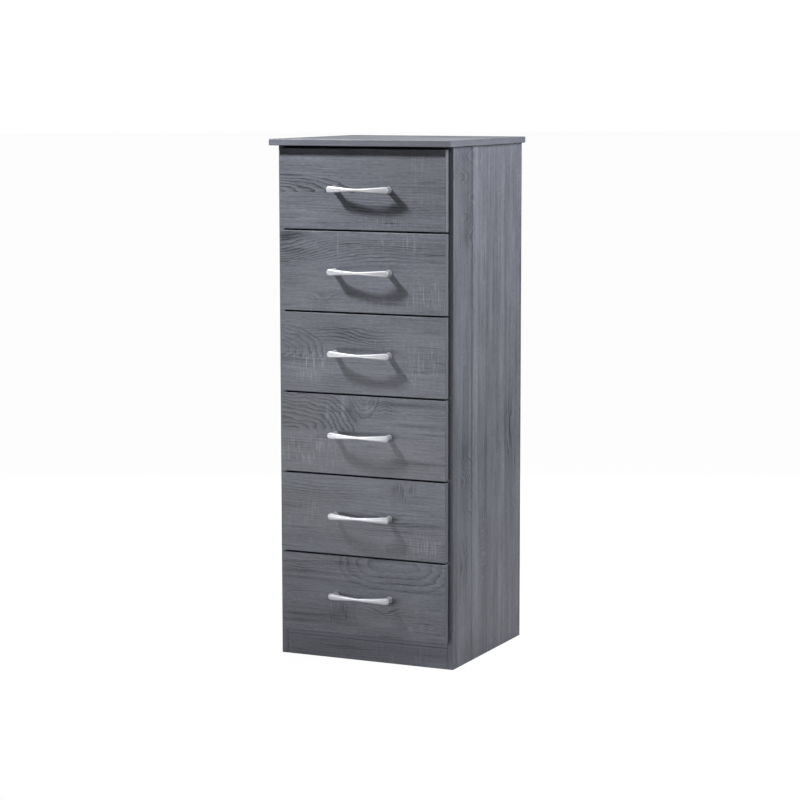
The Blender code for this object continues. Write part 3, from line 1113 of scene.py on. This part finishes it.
class CHEST_OT_drawer_boxes(bpy.types.Operator):
    """Finish the drawer boxes and add their cam locks"""

    bl_idname = "chest.drawer_boxes"
    bl_label = "Drawer boxes"

    def execute(self, context):
        settings = context.scene.chest_fittings
        foil = foil_board(context.scene.chest_boards)
        bottom = hardboard("hardboard_drawer_bottom", Z, -1.0, context.scene.chest_boards)
        for number in DRAWERS:
            for board in ("left_side", "right_side", "back"):
                give_finish(f"drawer_{number}_{board}", foil)
            give_finish(f"drawer_{number}_bottom", bottom)
            self.add_cams(settings, number)
        return {"FINISHED"}

    def add_cams(self, settings, number):
        """Two cams near the front end of each side board, on its inner face."""
        from_front = 0.034
        piece = Piece(f"drawer_{number}_cams", bpy.data.materials["plated_steel"])
        for hand, sign in HANDS:
            low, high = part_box(f"drawer_{number}_{hand}_side")
            inner = low.x if sign > 0 else high.x
            for rise in (0.38, 0.78):
                point = (inner, low.y + from_front, low.z + (high.z - low.z) * rise)
                piece.turned(cam_profile(settings.cam_radius), out_along(X, -sign, point), 32)
        piece.place(f"drawer_{number}", "runner_steel")


class CHEST_OT_drawer_members(bpy.types.Operator):
    """Add the runner members that the drawers carry"""

    bl_idname = "chest.drawer_members"
    bl_label = "Drawer runner members"

    def execute(self, context):
        settings = context.scene.chest_fittings
        for number in DRAWERS:
            for hand, sign in HANDS:
                self.add_member(settings, number, hand, sign)
        return {"FINISHED"}

    def add_member(self, settings, number, hand, sign):
        """Steel angle under the side board, with the flange that rolls on the carcass's roller."""
        low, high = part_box(f"drawer_{number}_{hand}_side")
        channel_low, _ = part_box(f"drawer_{number}_{hand}_runner")
        steel = settings.steel
        outer = high.x if sign > 0 else -low.x
        inner = low.x if sign > 0 else -high.x
        web = outer + CLEARANCE
        under = low.z - CLEARANCE
        tread = channel_low.z + steel + ROLLER_PLAY + 2 * settings.roller_radius + CLEARANCE
        face = web + steel
        flange = web + settings.flange
        top = low.z + settings.upright
        toe = inner + 0.001
        outline = (
            (toe, under - steel), (face, under - steel), (face, tread), (flange, tread),
            (flange, tread + steel), (face, tread + steel), (face, top), (web, top), (web, under),
            (toe, under),
        )
        piece = Piece(
            f"drawer_{number}_{hand}_member", bpy.data.materials["runner_enamel"],
            bpy.data.materials["roller_nylon"], bpy.data.materials["plated_steel"],
        )
        piece.extruded([(sign * x, z) for x, z in outline], low.y + 0.0006, high.y - 0.001)
        axle_y = high.y - 0.012
        axle_z = tread - settings.roller_radius - 0.0004
        middle = (sign * (face + settings.roller_width / 2 + 0.0007), axle_y, axle_z)
        roller = roller_profile(settings.roller_radius, settings.roller_width)
        piece.turned(roller, out_along(X, sign, middle), 32, material=1)
        rivet = drawer_rivet_profile(settings.roller_width)
        piece.turned(rivet, out_along(X, sign, (sign * face, axle_y, axle_z)), 16, material=2)
        for along in (0.10, 0.50, 0.86):
            point = (sign * face, low.y + (high.y - low.y) * along, low.z + 0.0195)
            piece.turned(flat_screw_profile(), out_along(X, sign, point), 24, material=2)
        piece.place(f"drawer_{number}", "runner_steel")


class CHEST_OT_handles(bpy.types.Operator):
    """Add the bow handles and the screws that hold them"""

    bl_idname = "chest.handles"
    bl_label = "Handles"

    def execute(self, context):
        settings = context.scene.chest_handle
        fittings = context.scene.chest_fittings
        strap = satin_metal("satin_silver", settings, 1.0, 0.36)
        # The posts get the strap's metal at 0.72 of its brightness: painted shade on the same metal,
        # not a different finish
        post = satin_metal("post_silver_painted_shade", settings, 0.72, 0.40)
        for number in DRAWERS:
            self.add_handle(settings, number, (strap, post))
            self.add_screws(settings, fittings, number)
        return {"FINISHED"}

    def add_handle(self, settings, number, metals):
        node = f"drawer_{number}_handle"
        low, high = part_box(node)
        centre = Vector(((low.x + high.x) / 2, high.y, (low.z + high.z) / 2))
        piece = Piece(f"drawer_{number}_bow_handle", *metals)
        piece.loft([strap_ring(settings, x, centre) for x in strap_places(settings)])
        for _, sign in HANDS:
            foot = centre + Vector((sign * settings.spacing / 2, 0.0, 0.0))
            piece.turned(post_profile(settings), out_along(Y, -1, foot), 32, material=1)
        piece.place(f"drawer_{number}", "handle_metal", math.radians(50), (node,))

    def add_screws(self, settings, fittings, number):
        """Heads of the two handle screws on the inner face of the front."""
        _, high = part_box(f"drawer_{number}_front")
        low_handle, high_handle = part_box(f"drawer_{number}_handle")
        piece = Piece(f"drawer_{number}_handle_screws", bpy.data.materials["plated_steel"])
        for _, sign in HANDS:
            point = (sign * settings.spacing / 2, high.y, (low_handle.z + high_handle.z) / 2)
            profile = screw_profile(fittings.screw_radius * 1.2)
            piece.turned(profile, out_along(Y, 1, point), 24)
        piece.place(f"drawer_{number}", "handle_metal")


class CHEST_PT_panel(bpy.types.Panel):
    """Lists the steps that dress the chest"""

    bl_label = "Tall Chest"
    bl_idname = "CHEST_PT_panel"
    bl_space_type = "VIEW_3D"
    bl_region_type = "UI"
    bl_category = "Chest"

    def draw(self, context):
        for group in SETTINGS:
            box = self.layout.box()
            settings = getattr(context.scene, group)
            for label in settings.__annotations__:
                box.prop(settings, label)
        for operator in OPERATORS:
            self.layout.operator(operator.bl_idname)


SETTINGS = {
    "chest_laminate": LaminateSettings,
    "chest_handle": HandleSettings,
    "chest_fittings": FittingSettings,
    "chest_boards": BoardSettings,
    "chest_stage": StageSettings,
}

OPERATORS = (
    CHEST_OT_stage, CHEST_OT_fitting_finishes, CHEST_OT_carcass, CHEST_OT_back, CHEST_OT_runners,
    CHEST_OT_drawer_fronts, CHEST_OT_drawer_boxes, CHEST_OT_drawer_members, CHEST_OT_handles,
)


def register():
    """Registers the settings, the operators and the panel."""
    for group, settings in SETTINGS.items():
        bpy.utils.register_class(settings)
        setattr(bpy.types.Scene, group, bpy.props.PointerProperty(type=settings))
    for operator in OPERATORS:
        bpy.utils.register_class(operator)
    bpy.utils.register_class(CHEST_PT_panel)


def unregister():
    """Takes away what register added."""
    bpy.utils.unregister_class(CHEST_PT_panel)
    for operator in reversed(OPERATORS):
        bpy.utils.unregister_class(operator)
    for group, settings in reversed(SETTINGS.items()):
        delattr(bpy.types.Scene, group)
        bpy.utils.unregister_class(settings)


def main():
    """Dresses the chest."""
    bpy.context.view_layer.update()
    register()
    bpy.ops.chest.stage()
    bpy.ops.chest.fitting_finishes()
    bpy.ops.chest.carcass()
    bpy.ops.chest.back()
    bpy.ops.chest.runners()
    bpy.ops.chest.drawer_fronts()
    bpy.ops.chest.drawer_boxes()
    bpy.ops.chest.drawer_members()
    bpy.ops.chest.handles()


if __name__ == "__main__":
    main()
